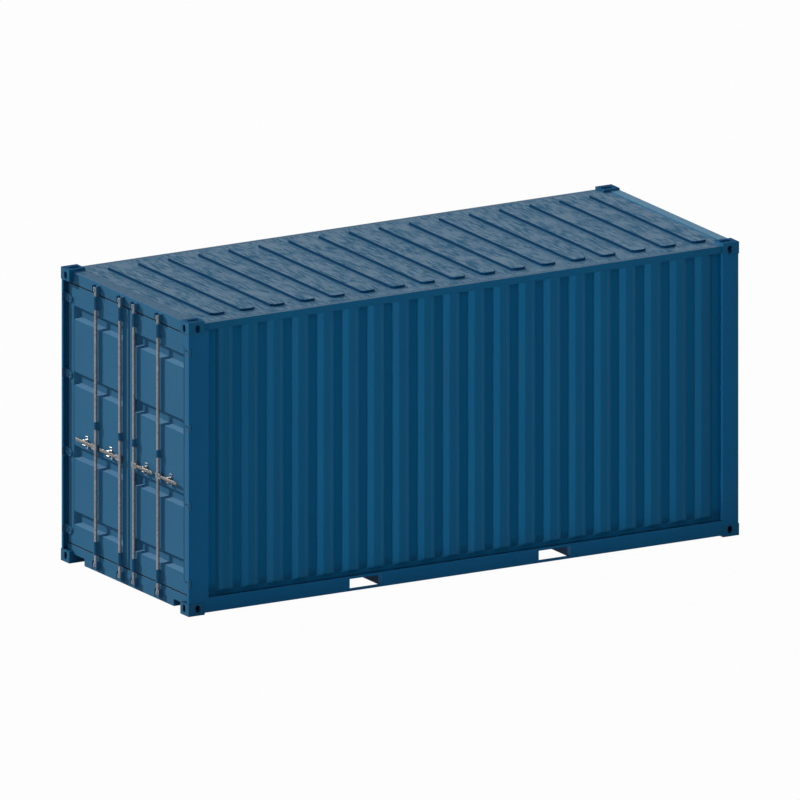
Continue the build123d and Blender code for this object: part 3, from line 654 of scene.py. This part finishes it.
# Plates that close the ends of the sill's foot, beside the castings
sillEnds = {"plateMm": 8, "wallMm": 8, "footMm": 1}
low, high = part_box("door_sill")
footTop = low[2] + sillEnds["footMm"] * mm
footY = max(vert.co.y for vert in nodes["door_sill"].data.vertices if vert.co.z < footTop)
wall = sillEnds["wallMm"] * mm
size = (high[0] - low[0] - wall, sillEnds["plateMm"] * mm, high[2] - low[2] - 2 * wall)
shape = bmesh.new()
for sign in sides.values():
    middle = ((low[0] + high[0] + wall) / 2, sign * (footY - size[1] / 2), (low[2] + high[2]) / 2)
    place = Matrix.Translation(middle) @ Matrix.Diagonal((*size, 1.0))
    bmesh.ops.create_cube(shape, size=1.0, matrix=place)
mesh = bpy.data.meshes.new("door_sill_ends")
shape.to_mesh(mesh)
shape.free()
mesh.materials.append(framePaint)
addPiece("door_sill_ends", mesh, "container")
print("sill ends closed")


# 1 where the floor or the room is seen, straight on or in metal and glass, and 0 where it lights the part
def seenShare(tree):
    rays = addNode(tree, "ShaderNodeLightPath").outputs
    seen = addNode(tree, "ShaderNodeMath", [
        rays["Is Camera Ray"], rays["Is Glossy Ray"]], operation="MAXIMUM")
    return addNode(tree, "ShaderNodeMath", [seen, rays["Is Transmission Ray"]], operation="MAXIMUM")


# Pale floor: nearly white to the camera, with the object's soft shadow left on it.
stageFloor = {"halfM": 60.0, "colour": "#909090", "white": 0.975}
floorMesh = bpy.data.meshes.new("studioFloor")
reach = stageFloor["halfM"]
floorMesh.from_pydata(
    [(-reach, -reach, 0), (reach, -reach, 0), (reach, reach, 0), (-reach, reach, 0)], [], [(0, 1, 2, 3)])
floorObject = bpy.data.objects.new("studioFloor", floorMesh)
bpy.context.scene.collection.objects.link(floorObject)
floorMaterial, tree, shader = startMaterial("paleFloor", Roughness=1.0, Specular_IOR_Level=0.0)
shader.inputs["Base Color"].default_value = linear(stageFloor["colour"])
white = (1, 1, 1, 1)
glow = addNode(tree, "ShaderNodeEmission", {"Color": white, "Strength": 1.0})
share = addNode(tree, "ShaderNodeMath", [seenShare(tree), stageFloor["white"]], operation="MULTIPLY")
mixed = addNode(tree, "ShaderNodeMixShader", [share, shader, glow])
tree.links.new(mixed.outputs[0], tree.nodes["Material Output"].inputs["Surface"])
floorMesh.materials.append(floorMaterial)

# Studio light: a dim white room, a soft box overhead, a key from beyond the doors' far edge that draws the
# bars' shadows across them, and two strip boxes that graze the long wall from its ends.
room = {"horizon": 0.25, "overhead": 0.46}
lamps = {
    "topBox": {"strength": 1.0, "colour": "#FFFBF2", "from": (0.0, 0.0, 1.0), "angle": 12},
    "key": {"strength": 3.8, "colour": "#FFF6E6", "from": (-0.41, 0.91, 0.5), "angle": 4}}
strips = {
    "nearStrip": {"watts": 7.1, "at": (-9.0, -3.02, 1.65), "from": (-0.982, -0.191, 0.0)},
    "farStrip": {"watts": 3.7, "at": (9.0, -3.02, 1.65), "from": (0.982, -0.191, 0.0)}}
stripBox = {"wideM": 1.14, "tallM": 3.0, "spread": 4}
world = bpy.data.worlds.new("studio")
bpy.context.scene.world = world
world.use_nodes = True
tree = world.node_tree
walls = tree.nodes["Background"]
walls.inputs["Color"].default_value = white
sky = addNode(tree, "ShaderNodeSeparateXYZ", [addNode(tree, "ShaderNodeTexCoord").outputs["Generated"]])
height = addNode(tree, "ShaderNodeMapRange", {
    "Value": sky.outputs["Z"], "To Min": room["horizon"], "To Max": room["overhead"]})
tree.links.new(height.outputs[0], walls.inputs["Strength"])
backdrop = addNode(tree, "ShaderNodeBackground", {"Color": white, "Strength": 1.0})
mixed = addNode(tree, "ShaderNodeMixShader", [seenShare(tree), walls, backdrop])
tree.links.new(mixed.outputs[0], tree.nodes["World Output"].inputs["Surface"])
for name, look in lamps.items():
    lamp = bpy.data.lights.new(name, "SUN")
    lamp.energy = look["strength"]
    lamp.angle = math.radians(look["angle"])
    lamp.color = linear(look["colour"])[:3]
    lampObject = bpy.data.objects.new(name, lamp)
    lampObject.rotation_euler = Vector(look["from"]).to_track_quat("Z", "Y").to_euler()
    bpy.context.scene.collection.objects.link(lampObject)
for name, look in strips.items():
    lamp = bpy.data.lights.new(name, "AREA")
    lamp.energy = look["watts"]
    lamp.shape = "RECTANGLE"
    lamp.size = stripBox["wideM"]
    lamp.size_y = stripBox["tallM"]
    lamp.spread = math.radians(stripBox["spread"])
    lampObject = bpy.data.objects.new(name, lamp)
    lampObject.location = look["at"]
    lampObject.rotation_euler = Vector(look["from"]).to_track_quat("Z", "Y").to_euler()
    lampObject.visible_camera = False
    lampObject.visible_glossy = False
    bpy.context.scene.collection.objects.link(lampObject)

# Camera: a parallel view from beyond the right-hand end of the doors.
lens = {"azimuth": -30, "elevation": 15, "widthM": 7.624, "upM": 1.405, "backM": 20, "farM": 200}
turn = Matrix.Rotation(math.radians(lens["azimuth"]), 4, "Z")
turn = turn @ Matrix.Rotation(math.radians(90 - lens["elevation"]), 4, "X")
camera = bpy.data.cameras.new("camera")
camera.type = "ORTHO"
camera.ortho_scale = lens["widthM"]
camera.clip_end = lens["farM"]
cameraObject = bpy.data.objects.new("camera", camera)
cameraObject.matrix_world = turn @ Matrix.Translation((0, lens["upM"], lens["backM"]))
bpy.context.scene.collection.objects.link(cameraObject)
bpy.context.scene.camera = cameraObject
bpy.context.scene.view_settings.view_transform = "Standard"
print("stage, light and camera set")
